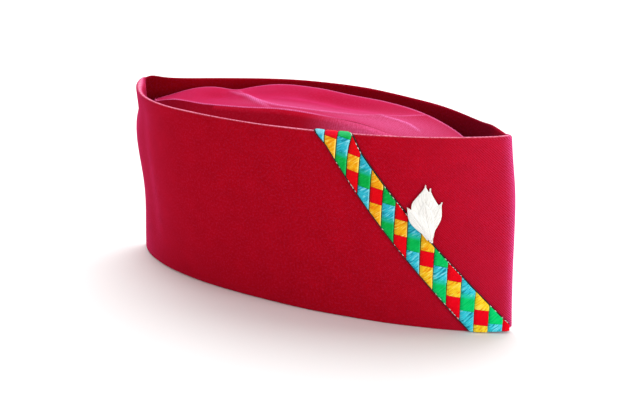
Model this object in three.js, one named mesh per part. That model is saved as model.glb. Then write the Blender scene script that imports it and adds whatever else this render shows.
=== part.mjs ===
import * as THREE from 'three';

// A hill cap standing on its hem, in millimetres. +X is the cap's front, +Y the wearer's left, +Z up.
// "Near" is the wearer's right side, which carries the braid and the badge, and "far" the left side.
// "turn" is an angle round the cap: 0 at the front fold, positive over the far side, pi at the back.

// Band: a doubled cloth cuff, sewn at the hem and turned up round the crown
const bandHeight = 108.5;
const bandCloth = 2.3;
const hemRound = 0.8;
const hem = { length: 268, width: 79, midX: 0.8, midY: 3.1 };
const rim = { length: 260, width: 116, midX: 2.5, midY: 0.1 };

// A quarter of an outline is as wide as (1 - share ** full) ** close, share being the way to its end
const bandQuarters = {
  nearFront: { full: 1.92, close: 0.73 },
  nearBack: { full: 2.78, close: 0.8 },
  farFront: { full: 1.62, close: 0.96 },
  farBack: { full: 2.35, close: 0.79 },
};

// An inset moves an outline's pointed ends further than its sides
const tipInset = 1.5;

// Soft swells of the band: place round the cap in degrees, height as a share of the band's height
const swells = [
  { around: 178, up: 0.7, depth: 4.4, spreadAround: 28, spreadUp: 0.25 },
  { around: -150, up: 0.35, depth: -1.4, spreadAround: 22, spreadUp: 0.25 },
  { around: -4, up: 0.62, depth: 1.4, spreadAround: 24, spreadUp: 0.3 },
  { around: -100, up: 0.5, depth: 1.2, spreadAround: 36, spreadUp: 0.35 },
  { around: 70, up: 0.6, depth: -1.6, spreadAround: 30, spreadUp: 0.3 },
  { around: 163, up: 0.95, depth: 2.4, spreadAround: 9, spreadUp: 0.5 },
  { around: -160, up: 1, depth: 1.1, spreadAround: 16, spreadUp: 0.06 },
  { around: -160, up: 0.86, depth: -1, spreadAround: 20, spreadUp: 0.06 },
];

// Waves of the rim: extra height at a place round the cap in degrees
const rimWaves = [
  { around: -177, rise: 1.7, spread: 14 },
  { around: 167, rise: 1.35, spread: 6 },
  { around: 145, rise: -0.45, spread: 12 },
  { around: 103, rise: 1.2, spread: 22 },
  { around: 58, rise: 0.5, spread: 14 },
  { around: 31, rise: 0.6, spread: 5 },
  { around: 16, rise: -0.6, spread: 6 },
  { around: -140, rise: -0.8, spread: 24 },
];

// Crown: an upright side wall from the hem, closed by a boat-shaped top panel
const crownCloth = 1.5;
const clothGap = 0.3;
const seam = { length: 223, width: 66, midX: -10.2, midY: 6.5 };
const seamQuarters = {
  nearFront: { full: 2.6, close: 0.45 },
  nearBack: { full: 2.2, close: 0.5 },
  farFront: { full: 3.2, close: 0.75 },
  farBack: { full: 1.7, close: 1.05 },
};
const seamSkew = 0.35;
const panelTipTurn = 0.13;

// Height of the crown's seam from the back tip (-1) to the front tip (1), in equal steps
const seamHeights = [
  { along: -1, near: 96, far: 96 },
  { along: -0.75, near: 103.2, far: 104.1 },
  { along: -0.5, near: 105.3, far: 105.2 },
  { along: -0.25, near: 107.6, far: 108.8 },
  { along: 0, near: 110.2, far: 109.2 },
  { along: 0.25, near: 110.2, far: 107.8 },
  { along: 0.5, near: 108.2, far: 107.2 },
  { along: 0.75, near: 104.8, far: 105.2 },
  { along: 1, near: 100.5, far: 100.5 },
];

// Folds of the top panel, each a bowed ridge, and its shallow dishes. A lean over 1 moves the bow
// towards the front, and a fullness under 1 widens it.
const panelFolds = [
  { fromX: -74, fromY: 26, toX: 62.5, toY: 30, bow: -50.6, lean: 1.67, fullness: 0.6, rise: 2.4, breadth: 6 },
  { fromX: -78, fromY: 23, toX: -6, toY: -25.8, bow: -3, lean: 1, fullness: 1, rise: 1.5, breadth: 5 },
  { fromX: 47, fromY: 0.5, toX: 78, toY: -2, bow: 4.5, lean: 1, fullness: 1, rise: 1.3, breadth: 5 },
];
const panelDishes = [
  { x: 14, y: 17, depth: 3.4, spreadX: 46, spreadY: 13 },
  { x: -58, y: 4, depth: 1.2, spreadX: 20, spreadY: 10 },
];

// Braid: a plaited tape laid slantwise on the near side, turned over the rim and cut at the hem.
// On the unrolled band its centre line leans back from the front fold as it climbs, and straightens.
const braidWidth = { hem: 18.8, rim: 15.6 };
const braidCloth = 0.9;
const braidFoot = 13.9;
const braidLean = 0.905;
const braidStraighten = 0.00175;
const turnOverRim = 8;
const braidClear = 0.2;
const plaitRise = 0.4;
const plaitPitch = 10.7;
const plaitStart = 1.8;
const plaitSlant = { ribs: 1, rows: -1.1 };
const plaitFade = 6;

// Badge: a white flower bud on a short stalk. Its rows go up from the stalk's foot, with the middle
// of each row measured towards the front fold.
const badgeFoot = { around: 43.5, up: 49.1 };
const badgeCloth = 1;
const petalRise = 0.5;
const petalCount = 3;
const badgeRows = [
  { up: 2, mid: -1.6, half: 0.6 },
  { up: 4, mid: -2.5, half: 1.5 },
  { up: 7, mid: -3.7, half: 3.4 },
  { up: 9, mid: -4.1, half: 4.8 },
  { up: 11, mid: -4.2, half: 6.4 },
  { up: 13, mid: -3.9, half: 8 },
  { up: 15.5, mid: -3.8, half: 8.8 },
  { up: 18, mid: -3.5, half: 9.1 },
  { up: 20.4, mid: -3.6, half: 9.1 },
  { up: 21.6, mid: -2.2, half: 7.7 },
  { up: 23.5, mid: -1.5, half: 7.2 },
  { up: 24.4, mid: -2.1, half: 6 },
  { up: 26, mid: -2, half: 4.7 },
  { up: 27.6, mid: -2, half: 3.2 },
  { up: 29.5, mid: -1.6, half: 2.1 },
  { up: 32, mid: -1, half: 1.5 },
  { up: 33.6, mid: -1.6, half: 0.3 },
];

// The badge's cloth climbs to the braid's thickness between these distances from the braid's edge
const badgeClimb = { foot: 7, top: 1 };

// Steps of the faceted skins: round the cap, and along the stretches of each section
const bandSteps = { around: 76, hemTurn: 3, wall: 9, fold: 6, inside: 7 };
const crownSteps = { around: 64, up: 6, long: 40, across: 15 };
const braidSteps = { across: 8, hemEnd: 2, wall: 56, overRim: 4 };
const badgeSteps = 10;
const measureSteps = 360;

// Evenly spaced numbers from first to last
function steps(first, last, count) {
  return Array.from({ length: count + 1 }, (_, i) => first + (last - first) * i / count);
}

// One closed body skinned over matching closed loops of points, joined end to end or capped.
// An end cap zips the first half of its loop to the second half.
function skinLoops(loops, joined) {
  const size = loops[0].length;
  const points = loops.flat();
  const triangles = [];
  const addQuad = (a, b, c, d) => triangles.push(a, b, c, a, c, d);
  const last = joined ? loops.length : loops.length - 1;
  for (let i = 0; i < last; i += 1) {
    const here = i * size;
    const next = ((i + 1) % loops.length) * size;
    for (let j = 0; j < size; j += 1) {
      const k = (j + 1) % size;
      addQuad(here + j, next + j, next + k, here + k);
    }
  }
  if (!joined) {
    const end = (loops.length - 1) * size;
    for (let j = 0; j < size / 2 - 1; j += 1) {
      const back = size - 1 - j;
      addQuad(j, j + 1, back - 1, back);
      addQuad(end + back, end + back - 1, end + j + 1, end + j);
    }
  }
  const positions = points.flatMap((point) => point.toArray());
  const geometry = new THREE.BufferGeometry();
  geometry.setAttribute('position', new THREE.Float32BufferAttribute(positions, 3));
  geometry.setIndex(triangles);
  geometry.computeVertexNormals();
  return geometry;
}

// Share of a soft hill at a distance counted in spreads
function hill(...spreads) {
  return Math.exp(-spreads.reduce((sum, value) => sum + value * value, 0));
}

// Point of a boat-shaped outline, moved in from its edge by inset
function outlinePoint(outline, quarters, turn, inset) {
  const along = Math.cos(turn);
  const side = Math.sin(turn) < 0 ? -1 : 1;
  const name = (side < 0 ? 'near' : 'far') + (along > 0 ? 'Front' : 'Back');
  const { full, close } = quarters[name];
  const share = Math.max(0, 1 - Math.abs(along) ** full) ** close;
  const x = outline.midX + (outline.length / 2 - tipInset * inset) * along;
  return new THREE.Vector2(x, outline.midY + side * (outline.width / 2 - inset) * share);
}

// The band's outline at a height, between its hem and its rim
function bandOutline(height) {
  const share = height / bandHeight;
  const between = (key) => THREE.MathUtils.lerp(hem[key], rim[key], share);
  return {
    length: between('length'),
    width: between('width'),
    midX: between('midX'),
    midY: between('midY'),
  };
}

// Angle in degrees from a place round the cap to a turn, the short way
function degreesFrom(around, turn) {
  return THREE.MathUtils.euclideanModulo(THREE.MathUtils.radToDeg(turn) - around + 180, 360) - 180;
}

function swellAt(turn, height) {
  let total = 0;
  for (const { around, up, depth, spreadAround, spreadUp } of swells) {
    const upSpreads = (height / bandHeight - up) / spreadUp;
    total += depth * hill(degreesFrom(around, turn) / spreadAround, upSpreads);
  }
  return total;
}

function rimWaveAt(turn) {
  let total = 0;
  for (const { around, rise, spread } of rimWaves) {
    total += rise * hill(degreesFrom(around, turn) / spread);
  }
  return total;
}

const foldRadius = bandCloth / 2;
const foldStart = bandHeight - foldRadius;
const foldEnd = foldStart + Math.PI * foldRadius;
const hemTurnEnd = hemRound - hemRound * Math.PI / 2;

// Point on the band's skin. "run" goes up the outer face from the hem, over the rim's fold and down
// inside, or under the hem where it is negative. "proud" stands off the skin.
function bandSkin(turn, run, proud) {
  let inset = -proud;
  let height = run;
  if (run < hemTurnEnd) {
    inset = hemRound + hemTurnEnd - run;
    height = -proud;
  } else if (run < hemRound) {
    const angle = (hemRound - run) / hemRound;
    inset = hemRound - (hemRound + proud) * Math.cos(angle);
    height = hemRound - (hemRound + proud) * Math.sin(angle);
  } else if (run > foldEnd) {
    inset = bandCloth + proud;
    height = foldStart - (run - foldEnd);
  } else if (run > foldStart) {
    const angle = (run - foldStart) / foldRadius;
    inset = foldRadius - (foldRadius + proud) * Math.cos(angle);
    height = foldStart + (foldRadius + proud) * Math.sin(angle);
  }
  const flat = outlinePoint(bandOutline(height), bandQuarters, turn, inset - swellAt(turn, height));
  return new THREE.Vector3(flat.x, flat.y, height + rimWaveAt(turn) * height / bandHeight);
}

function makeBand() {
  const runs = [
    ...steps(hemTurnEnd, hemRound, bandSteps.hemTurn),
    ...steps(hemRound, foldStart, bandSteps.wall).slice(1),
    ...steps(foldStart, foldEnd, bandSteps.fold).slice(1),
    ...steps(foldEnd, foldEnd + foldStart, bandSteps.inside).slice(1),
  ];
  const turns = steps(0, 2 * Math.PI, bandSteps.around).slice(0, -1);
  return skinLoops(turns.map((turn) => runs.map((run) => bandSkin(turn, run, 0))), true);
}

const heightRows = seamHeights.map((row) => new THREE.Vector3(row.along, row.near, row.far));
const heightCurve = new THREE.CatmullRomCurve3(heightRows, false, 'catmullrom');

// Point of the crown's seam, moved in from its edge by inset
function seamPoint(turn, inset) {
  const flat = outlinePoint(seam, seamQuarters, turn, inset);
  const rowShare = (1 + Math.cos(turn)) / 2;
  const heights = heightCurve.getPoint(rowShare);
  const toFar = (1 + Math.sin(turn)) / 2;
  const x = flat.x - seamSkew * (flat.y - seam.midY);
  return new THREE.Vector3(x, flat.y, THREE.MathUtils.lerp(heights.y, heights.z, toFar));
}

// Side wall of the crown, from inside the hem up to just under the top panel
function makeCrownSide() {
  const seat = bandCloth + clothGap;
  const drop = new THREE.Vector3(0, 0, crownCloth + clothGap);
  const sidePoint = (turn, share, inset) => {
    const foot = outlinePoint(hem, bandQuarters, turn, seat + inset);
    const head = seamPoint(turn, inset).sub(drop);
    return new THREE.Vector3(foot.x, foot.y, 0).lerp(head, share);
  };
  const shares = steps(0, 1, crownSteps.up);
  const turns = steps(0, 2 * Math.PI, crownSteps.around).slice(0, -1);
  const loopAt = (turn) => [
    ...shares.map((share) => sidePoint(turn, share, 0)),
    ...shares.toReversed().map((share) => sidePoint(turn, share, crownCloth)),
  ];
  return skinLoops(turns.map(loopAt), true);
}

// Height that the folds and dishes give the top panel
function panelRelief(x, y) {
  let height = 0;
  for (const { fromX, fromY, toX, toY, bow, lean, fullness, rise, breadth } of panelFolds) {
    const share = THREE.MathUtils.clamp((x - fromX) / (toX - fromX), 0, 1);
    const fade = Math.sqrt(Math.sin(Math.PI * share));
    const bowed = bow * Math.sin(Math.PI * share ** lean) ** fullness;
    const ridge = THREE.MathUtils.lerp(fromY, toY, share) + bowed;
    height += rise * fade * hill((y - ridge) / breadth);
  }
  for (const { x: dishX, y: dishY, depth, spreadX, spreadY } of panelDishes) {
    height -= depth * hill((x - dishX) / spreadX, (y - dishY) / spreadY);
  }
  return height;
}

function makeCrownTop() {
  const acrossShares = steps(0, 1, crownSteps.across);
  const turns = steps(panelTipTurn, Math.PI - panelTipTurn, crownSteps.long);
  const loopAt = (turn) => {
    const near = seamPoint(-turn, 0);
    const far = seamPoint(turn, 0);
    const upper = acrossShares.map((share) => {
      const point = near.clone().lerp(far, share);
      point.z += panelRelief(point.x, point.y) * Math.sin(Math.PI * share);
      return point;
    });
    const lower = upper.map((point) => new THREE.Vector3(point.x, point.y, point.z - crownCloth));
    return [...lower, ...upper.toReversed()];
  };
  return skinLoops(turns.map(loopAt), false);
}

// Turn of the cap at a distance round the near side from the front fold, at half height
const nearTurns = steps(0, -Math.PI, measureSteps);
const halfWay = bandOutline(bandHeight / 2);
const nearPoints = nearTurns.map((turn) => outlinePoint(halfWay, bandQuarters, turn, 0));
const nearLengths = [0];
for (let i = 1; i < nearPoints.length; i += 1) {
  nearLengths.push(nearLengths[i - 1] + nearPoints[i].distanceTo(nearPoints[i - 1]));
}
function turnAt(around) {
  const size = Math.abs(around);
  const after = Math.max(1, nearLengths.findIndex((length) => length >= size));
  const share = (size - nearLengths[after - 1]) / (nearLengths[after] - nearLengths[after - 1]);
  return Math.sign(around) * THREE.MathUtils.lerp(nearTurns[after - 1], nearTurns[after], share);
}

// Centre line of the braid on the unrolled band: distance from the front fold, tilt from upright,
// length so far and half width
function braidCentre(run) {
  const meanSlope = braidLean - braidStraighten * run;
  const tilt = Math.atan(braidLean - 2 * braidStraighten * run);
  const half = THREE.MathUtils.lerp(braidWidth.hem, braidWidth.rim, run / bandHeight) / 2;
  return { around: braidFoot + meanSlope * run, tilt, along: run * Math.hypot(1, meanSlope), half };
}

// Height of the plait's cells over the tape, where ribs and rows of strands cross at their own slants
function plaitHeight(along, across) {
  const rib = Math.sin(Math.PI * (along - plaitStart + plaitSlant.ribs * across) / plaitPitch);
  const row = Math.sin(Math.PI * (along - plaitStart + plaitSlant.rows * across) / plaitPitch);
  return plaitRise * Math.sqrt(Math.abs(rib * row));
}

// How far the braid follows the hem's round, until its outer face is almost on the ground
const braidEndAngle = Math.asin((hemRound - braidClear) / (hemRound + clothGap + braidCloth));

function makeBraid() {
  const shares = steps(1, -1, braidSteps.across);
  const runs = [
    ...steps(hemRound - hemRound * braidEndAngle, hemRound, braidSteps.hemEnd),
    ...steps(hemRound, foldStart, braidSteps.wall).slice(1),
    ...steps(foldStart, foldEnd, bandSteps.fold).slice(1),
    ...steps(foldEnd, foldEnd + turnOverRim, braidSteps.overRim).slice(1),
  ];
  const loopAt = (run) => {
    const { around, tilt, along, half } = braidCentre(run);
    const halfLevel = half / Math.cos(tilt);
    const place = (share, proud) => bandSkin(turnAt(around + share * halfLevel), run, proud);
    const plait = (share) => {
      const level = share * halfLevel;
      const fade = THREE.MathUtils.smoothstep(run, 0, plaitFade);
      return fade * plaitHeight(along + level * Math.sin(tilt), level * Math.cos(tilt));
    };
    const under = shares.map((share) => place(share, clothGap));
    const over = shares.map((share) => place(share, clothGap + braidCloth + plait(share)));
    return [...under, ...over.toReversed()];
  };
  return skinLoops(runs.map(loopAt), false);
}

// The badge lies on the band and climbs over the braid's edge
function makeBadge() {
  const overBraid = braidCloth + plaitRise + clothGap;
  const acrossShares = steps(-1, 1, badgeSteps);
  const loopAt = ({ up, mid, half }) => {
    const place = (share, thickness) => {
      const point = new THREE.Vector2(badgeFoot.around - mid - share * half, badgeFoot.up + up);
      const braid = braidCentre(point.y);
      const clear = (braid.around - point.x) * Math.cos(braid.tilt) - braid.half;
      const climb = 1 - THREE.MathUtils.smoothstep(clear, badgeClimb.top, badgeClimb.foot);
      return bandSkin(turnAt(point.x), point.y, clothGap + overBraid * climb + thickness);
    };
    const bulge = (share) => Math.abs(Math.cos(petalCount * Math.PI / 2 * share));
    const petal = (share) => badgeCloth + petalRise * bulge(share);
    const under = acrossShares.map((share) => place(share, 0));
    const over = acrossShares.map((share) => place(share, petal(share)));
    return [...under, ...over.toReversed()];
  };
  return skinLoops(badgeRows.map(loopAt), false);
}

const crimsonTwill = new THREE.MeshStandardMaterial({ color: 0xa00b1e, roughness: 0.9, metalness: 0 });
const crownTwill = new THREE.MeshStandardMaterial({ color: 0xb5163a, roughness: 0.9, metalness: 0 });
const plaitedSatin = new THREE.MeshStandardMaterial({ color: 0xd8a12c, roughness: 0.5, metalness: 0 });
const whiteBadge = new THREE.MeshStandardMaterial({ color: 0xf7f4ee, roughness: 0.6, metalness: 0 });

function addPiece(group, name, geometry, material) {
  const mesh = new THREE.Mesh(geometry, material);
  mesh.name = name;
  group.add(mesh);
}

const cap = new THREE.Group();
addPiece(cap, 'band', makeBand(), crimsonTwill);
addPiece(cap, 'crown_side', makeCrownSide(), crimsonTwill);
addPiece(cap, 'crown_top', makeCrownTop(), crownTwill);
addPiece(cap, 'braid', makeBraid(), plaitedSatin);
addPiece(cap, 'flower_badge', makeBadge(), whiteBadge);

export default cap;
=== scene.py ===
import math

import bmesh
import bpy
import numpy as np
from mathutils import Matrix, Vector, kdtree, noise


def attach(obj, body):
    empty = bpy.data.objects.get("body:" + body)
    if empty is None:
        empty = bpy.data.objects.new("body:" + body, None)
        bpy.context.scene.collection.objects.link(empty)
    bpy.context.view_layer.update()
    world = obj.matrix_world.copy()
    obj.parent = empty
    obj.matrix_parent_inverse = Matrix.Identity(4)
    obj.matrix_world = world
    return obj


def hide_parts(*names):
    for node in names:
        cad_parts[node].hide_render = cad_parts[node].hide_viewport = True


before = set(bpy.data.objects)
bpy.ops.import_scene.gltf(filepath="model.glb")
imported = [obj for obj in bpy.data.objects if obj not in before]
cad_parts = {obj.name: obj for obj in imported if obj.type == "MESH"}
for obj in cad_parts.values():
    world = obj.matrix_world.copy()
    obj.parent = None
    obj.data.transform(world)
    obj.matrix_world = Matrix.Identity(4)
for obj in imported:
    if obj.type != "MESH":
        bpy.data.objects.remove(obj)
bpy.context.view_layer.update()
bpy.ops.object.select_all(action="DESELECT")
print("frame loaded:", sorted(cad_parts))

# The cap stands on its hem. +X is its pointed front, "near" the side with the braid, "far" the other.
# A turn goes round it: 0 at the front fold, positive over the far side. A run goes up the outer wall
# from the hem, over the rim's fold and down inside. Lengths are in metres.
capForm = {
    "height": 0.1085, "cloth": 0.0023, "hemRound": 0.0008, "tipInset": 1.5,
    "hem": {"length": 0.2686, "width": 0.079, "midX": 0.0011, "midY": 0.0031},
    "rim": {"length": 0.260, "width": 0.116, "midX": 0.0025, "midY": 0.0001},
    "quarters": {  # a quarter is as wide as (1 - share ** full) ** close
        "nearFront": {"full": 1.92, "close": 0.73},
        "nearBack": {"full": 2.78, "close": 0.80},
        "farFront": {"full": 1.62, "close": 0.96},
        "farBack": {"full": 2.35, "close": 0.79},
    },
    "swells": [  # soft bulges: place round in degrees, height as a share of the whole, how far out
        {"around": 178, "up": 0.70, "depth": 0.0044, "spread": 28, "spreadUp": 0.25},
        {"around": -150, "up": 0.35, "depth": -0.0014, "spread": 22, "spreadUp": 0.25},
        {"around": -4, "up": 0.62, "depth": 0.0014, "spread": 24, "spreadUp": 0.30},
        {"around": -2, "up": 0.74, "depth": 0.0004, "spread": 14, "spreadUp": 0.14},
        {"around": -100, "up": 0.50, "depth": 0.0012, "spread": 36, "spreadUp": 0.35},
        {"around": 70, "up": 0.60, "depth": -0.0016, "spread": 30, "spreadUp": 0.30},
        {"around": 163, "up": 0.95, "depth": 0.0024, "spread": 9, "spreadUp": 0.50},
        {"around": -160, "up": 1.00, "depth": 0.0011, "spread": 16, "spreadUp": 0.06},
        {"around": -160, "up": 0.86, "depth": -0.0010, "spread": 20, "spreadUp": 0.06},
    ],
    "rimWaves": [
        {"around": -177, "rise": 0.0017, "spread": 14},
        {"around": 167, "rise": 0.00135, "spread": 6},
        {"around": 145, "rise": -0.00045, "spread": 12},
        {"around": 103, "rise": 0.0012, "spread": 22},
        {"around": 58, "rise": 0.0005, "spread": 14},
        {"around": 31, "rise": 0.0006, "spread": 5},
        {"around": 16, "rise": -0.0006, "spread": 6},
        {"around": -140, "rise": -0.0008, "spread": 24},
    ],
    "frontCorner": {"around": 0, "spread": 8, "lift": 0.0026, "up": 0.007},  # the hem is rounded here
    "backPuff": {"around": -159, "spread": 11, "depth": 0.0030, "down": 0.016},  # the rim's fold opens here
}
foldRadius = capForm["cloth"] / 2
foldStart = capForm["height"] - foldRadius
foldEnd = foldStart + math.pi * foldRadius
hemTurnEnd = capForm["hemRound"] * (1 - math.pi / 2)


def softStep(value, low, high):
    share = np.clip((value - low) / (high - low), 0, 1)
    return share * share * (3 - 2 * share)


def hill(*spreads):
    return np.exp(-sum(spread * spread for spread in spreads))


def mix(first, last, share):
    return first + (last - first) * share


def spreadsFrom(spot, turn):  # how far round a turn is from a spot, counted in the spot's spreads
    return ((np.degrees(turn) - spot["around"] + 180) % 360 - 180) / spot["spread"]


def outlinePoint(outline, quarters, turn, inset):  # point of a boat-shaped outline, moved in by inset
    along = np.cos(turn)
    side = np.where(np.sin(turn) < 0, -1, 1)
    front = along > 0

    def pick(key):
        near = np.where(front, quarters["nearFront"][key], quarters["nearBack"][key])
        far = np.where(front, quarters["farFront"][key], quarters["farBack"][key])
        return np.where(side < 0, near, far)

    share = np.maximum(0, 1 - np.abs(along) ** pick("full")) ** pick("close")
    x = outline["midX"] + (outline["length"] / 2 - capForm["tipInset"] * inset) * along
    return x, outline["midY"] + side * (outline["width"] / 2 - inset) * share


def bandOutline(height):
    share = height / capForm["height"]
    return {key: mix(capForm["hem"][key], capForm["rim"][key], share) for key in capForm["hem"]}


def swellAt(turn, height):
    up = height / capForm["height"]
    return sum(swell["depth"] * hill(spreadsFrom(swell, turn), (up - swell["up"]) / swell["spreadUp"])
               for swell in capForm["swells"])


def rimWaveAt(turn):
    return sum(wave["rise"] * hill(spreadsFrom(wave, turn)) for wave in capForm["rimWaves"])


def bandPoint(turn, run, proud):  # point on the band's skin, standing off it by proud
    turn, run, proud = np.broadcast_arrays(*(np.asarray(v, float) for v in (turn, run, proud)))
    hemRound = capForm["hemRound"]
    hemAngle = np.clip((hemRound - run) / hemRound, 0, math.pi / 2)
    foldAngle = np.clip((run - foldStart) / foldRadius, 0, math.pi)
    onHem = run < hemRound
    onFold = run > foldStart
    inset = np.where(onHem, hemRound - (hemRound + proud) * np.cos(hemAngle), -proud)
    height = np.where(onHem, hemRound - (hemRound + proud) * np.sin(hemAngle), run)
    inset = np.where(onFold, foldRadius - (foldRadius + proud) * np.cos(foldAngle), inset)
    height = np.where(onFold, foldStart + (foldRadius + proud) * np.sin(foldAngle), height)
    puff = capForm["backPuff"]
    puffed = puff["depth"] * hill(spreadsFrom(puff, turn), np.maximum(0, run - foldEnd) / puff["down"])
    inset = inset + puffed * (1 - np.cos(foldAngle)) / 2
    height = height + puffed * np.sin(foldAngle) / 2
    inset = inset + np.maximum(0, hemTurnEnd - run)
    height = height - np.maximum(0, run - foldEnd)
    x, y = outlinePoint(bandOutline(height), capForm["quarters"], turn, inset - swellAt(turn, height))
    corner = capForm["frontCorner"]
    lifted = corner["lift"] * hill(spreadsFrom(corner, turn))
    lifted = lifted * np.exp(-np.maximum(height, 0) / corner["up"])
    return np.stack([x, y, height + lifted + rimWaveAt(turn) * height / capForm["height"]], -1)


# Length round the near wall from the front fold, at half height, against the turn
nearTurns = np.linspace(0, -math.pi, 721)
nearX, nearY = outlinePoint(bandOutline(capForm["height"] / 2), capForm["quarters"], nearTurns, 0)
nearLengths = np.concatenate([[0], np.cumsum(np.hypot(np.diff(nearX), np.diff(nearY)))])


def turnAt(around):
    return np.sign(around) * np.interp(np.abs(around), nearLengths, nearTurns)


def aroundAt(turn):  # the other way, for laying cloth; the far side counts on as a mirror of the near one
    return -np.sign(turn) * np.interp(np.abs(turn), -nearTurns, nearLengths)


# Mesh helpers
def addGrid(name, columns, rows):
    bpy.ops.object.select_all(action="DESELECT")
    bpy.ops.mesh.primitive_grid_add(x_subdivisions=columns, y_subdivisions=rows, size=2)
    sheet = bpy.context.object
    sheet.name = name
    sheet.data.name = name
    return sheet


def vertexPlaces(piece):
    places = np.empty(len(piece.data.vertices) * 3)
    piece.data.vertices.foreach_get("co", places)
    return places.reshape(-1, 3)


def gridShares(sheet):  # each corner's share of the way across and up the grid
    places = vertexPlaces(sheet)
    return (places[:, 0] + 1) / 2, (places[:, 1] + 1) / 2


def placeVertices(piece, points):
    piece.data.vertices.foreach_set("co", np.ascontiguousarray(points, float).ravel())
    piece.data.update()


def layCloth(sheet, clothU, clothV):  # UV in metres along and up the cloth
    corners = np.empty(len(sheet.data.loops), int)
    sheet.data.loops.foreach_get("vertex_index", corners)
    cloth = np.stack([clothU, clothV], -1)[corners]
    sheet.data.uv_layers.active.data.foreach_set("uv", cloth.ravel())


def markShare(sheet, name, shares):  # one number for each vertex, which the sheet's material reads
    mark = sheet.data.attributes.new(name, "FLOAT", "POINT")
    mark.data.foreach_set("value", np.ascontiguousarray(shares, np.float32))


def selectOnly(piece):
    bpy.ops.object.select_all(action="DESELECT")
    bpy.context.view_layer.objects.active = piece
    piece.select_set(True)


def editAll(piece, *steps):  # run edit-mode operators on the whole piece
    selectOnly(piece)
    bpy.ops.object.mode_set(mode="EDIT")
    bpy.ops.mesh.select_all(action="SELECT")
    for step in steps:
        step()
    bpy.ops.object.mode_set(mode="OBJECT")


def weld(piece, distance=1e-6):  # an open sheet keeps the side that it was laid with
    editAll(piece, lambda: bpy.ops.mesh.remove_doubles(threshold=distance),
            lambda: bpy.ops.mesh.dissolve_degenerate(threshold=distance))


def weldClosed(piece):  # a closed skin is turned to face outwards
    weld(piece)
    editAll(piece, lambda: bpy.ops.mesh.normals_make_consistent(inside=False))


def applyModifier(piece, kind, **settings):
    selectOnly(piece)
    modifier = piece.modifiers.new(kind.title(), kind)
    for key, value in settings.items():
        setattr(modifier, key, value)
    bpy.ops.object.modifier_apply(modifier=modifier.name)


def roughen(points, normals, height, size):  # slow uneven swell of hand-sewn cloth
    lifts = np.array([noise.noise(Vector(point) / size) for point in points])
    return points + normals * (height * lifts)[:, None]


def vertexNormals(piece):
    normals = np.empty(len(piece.data.vertices) * 3)
    piece.data.vertices.foreach_get("normal", normals)
    return normals.reshape(-1, 3)


def joinPieces(pieces, name):
    bpy.ops.object.select_all(action="DESELECT")
    for piece in pieces:
        piece.select_set(True)
    bpy.context.view_layer.objects.active = pieces[0]
    if len(pieces) > 1:
        bpy.ops.object.join()
    joined = bpy.context.object
    joined.name = name
    joined.data.name = name
    return joined


def finishPiece(piece, nodes=(), sharpAngle=60):
    selectOnly(piece)
    bpy.ops.object.shade_smooth_by_angle(angle=math.radians(sharpAngle))
    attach(piece, "root")
    if nodes:
        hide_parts(*nodes)


# Node helpers
def newMaterial(name):
    material = bpy.data.materials.new(name)
    material.use_nodes = True
    tree = material.node_tree
    return material, tree, tree.nodes["Principled BSDF"]


def addNode(tree, kind, inputs=None, **settings):
    node = tree.nodes.new(kind)
    for key, value in settings.items():
        setattr(node, key, value)
    for key, value in (inputs or {}).items():
        if isinstance(value, bpy.types.NodeSocket):
            tree.links.new(value, node.inputs[key])
        else:
            node.inputs[key].default_value = value
    return node


def mathNode(tree, operation, first, second=0.0, third=0.0):
    return addNode(tree, "ShaderNodeMath", {0: first, 1: second, 2: third}, operation=operation).outputs[0]


def mixColor(tree, share, first, last):
    node = addNode(tree, "ShaderNodeMix", data_type="RGBA")
    for socket, value in zip((node.inputs[0], node.inputs[6], node.inputs[7]), (share, first, last)):
        if isinstance(value, bpy.types.NodeSocket):
            tree.links.new(value, socket)
        else:
            socket.default_value = value
    return node.outputs[2]


def rampNode(tree, share, low, high):  # share remapped so that low gives 0 and high gives 1
    return addNode(tree, "ShaderNodeMapRange", {0: share, 1: low, 2: high}).outputs[0]


def noiseNode(tree, place, scale, detail, roughness=0.5):
    return addNode(tree, "ShaderNodeTexNoise",
                   {0: place, "Scale": scale, "Detail": detail, "Roughness": roughness}).outputs[0]


def uvNode(tree):
    return addNode(tree, "ShaderNodeUVMap", uv_map="UVMap").outputs[0]


def mapped(tree, place, **inputs):
    return addNode(tree, "ShaderNodeMapping", {0: place, **inputs}).outputs[0]


def shareNode(tree, name):  # reads what markShare wrote
    return addNode(tree, "ShaderNodeAttribute", attribute_name=name).outputs["Fac"]


def bumpShader(tree, shader, height, strength, depth):
    bump = addNode(tree, "ShaderNodeBump", {"Strength": strength, "Distance": depth, "Height": height})
    tree.links.new(bump.outputs[0], shader.inputs["Normal"])


def setSockets(shader, values):
    for key, value in values.items():
        shader.inputs[key].default_value = value


def darker(color, share):
    return tuple(channel * share for channel in color[:3]) + (1,)


# Wool twill: fine diagonal ribs, short fibres, tufts, a faint mottle, and a pink nap that shows edge-on
twillLook = {  # noise: scale, detail and roughness; each part also has its say in where the painted sheen shows, a painted highlight on the nap
    "ribs": {"pitch": 1.0, "turn": -45, "wander": 1.5, "share": 0.26, "paintedSheen": 0.35, "height": 0.6},
    "fibre": {"noise": (3.0, 4.0, 0.65), "ramp": (0.25, 0.75), "share": 0.54, "paintedSheen": 0.5, "height": 0.5},
    "mottle": {"noise": (0.09, 3.0, 0.55), "ramp": (0.3, 0.7), "share": 0.20},
    "tuft": {"noise": (0.85, 2.0, 0.6), "ramp": (0.45, 0.75), "share": 0.055, "paintedSheen": 0.5},
    # the painted sheen's ramp, then the ramp and tint of the painted highlight on the rim's fold
    "paintedSheenRamp": (0.27, 0.66), "rimGlintRamp": (0.28, 0.56), "rimGlintTint": (0.92, 0.34, 0.46, 1),
    # inside: how dark the painted shade inside the band is, as a share of deep
    "inside": 0.7, "bump": 0.45, "bumpDepth": 0.00022,
}


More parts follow.
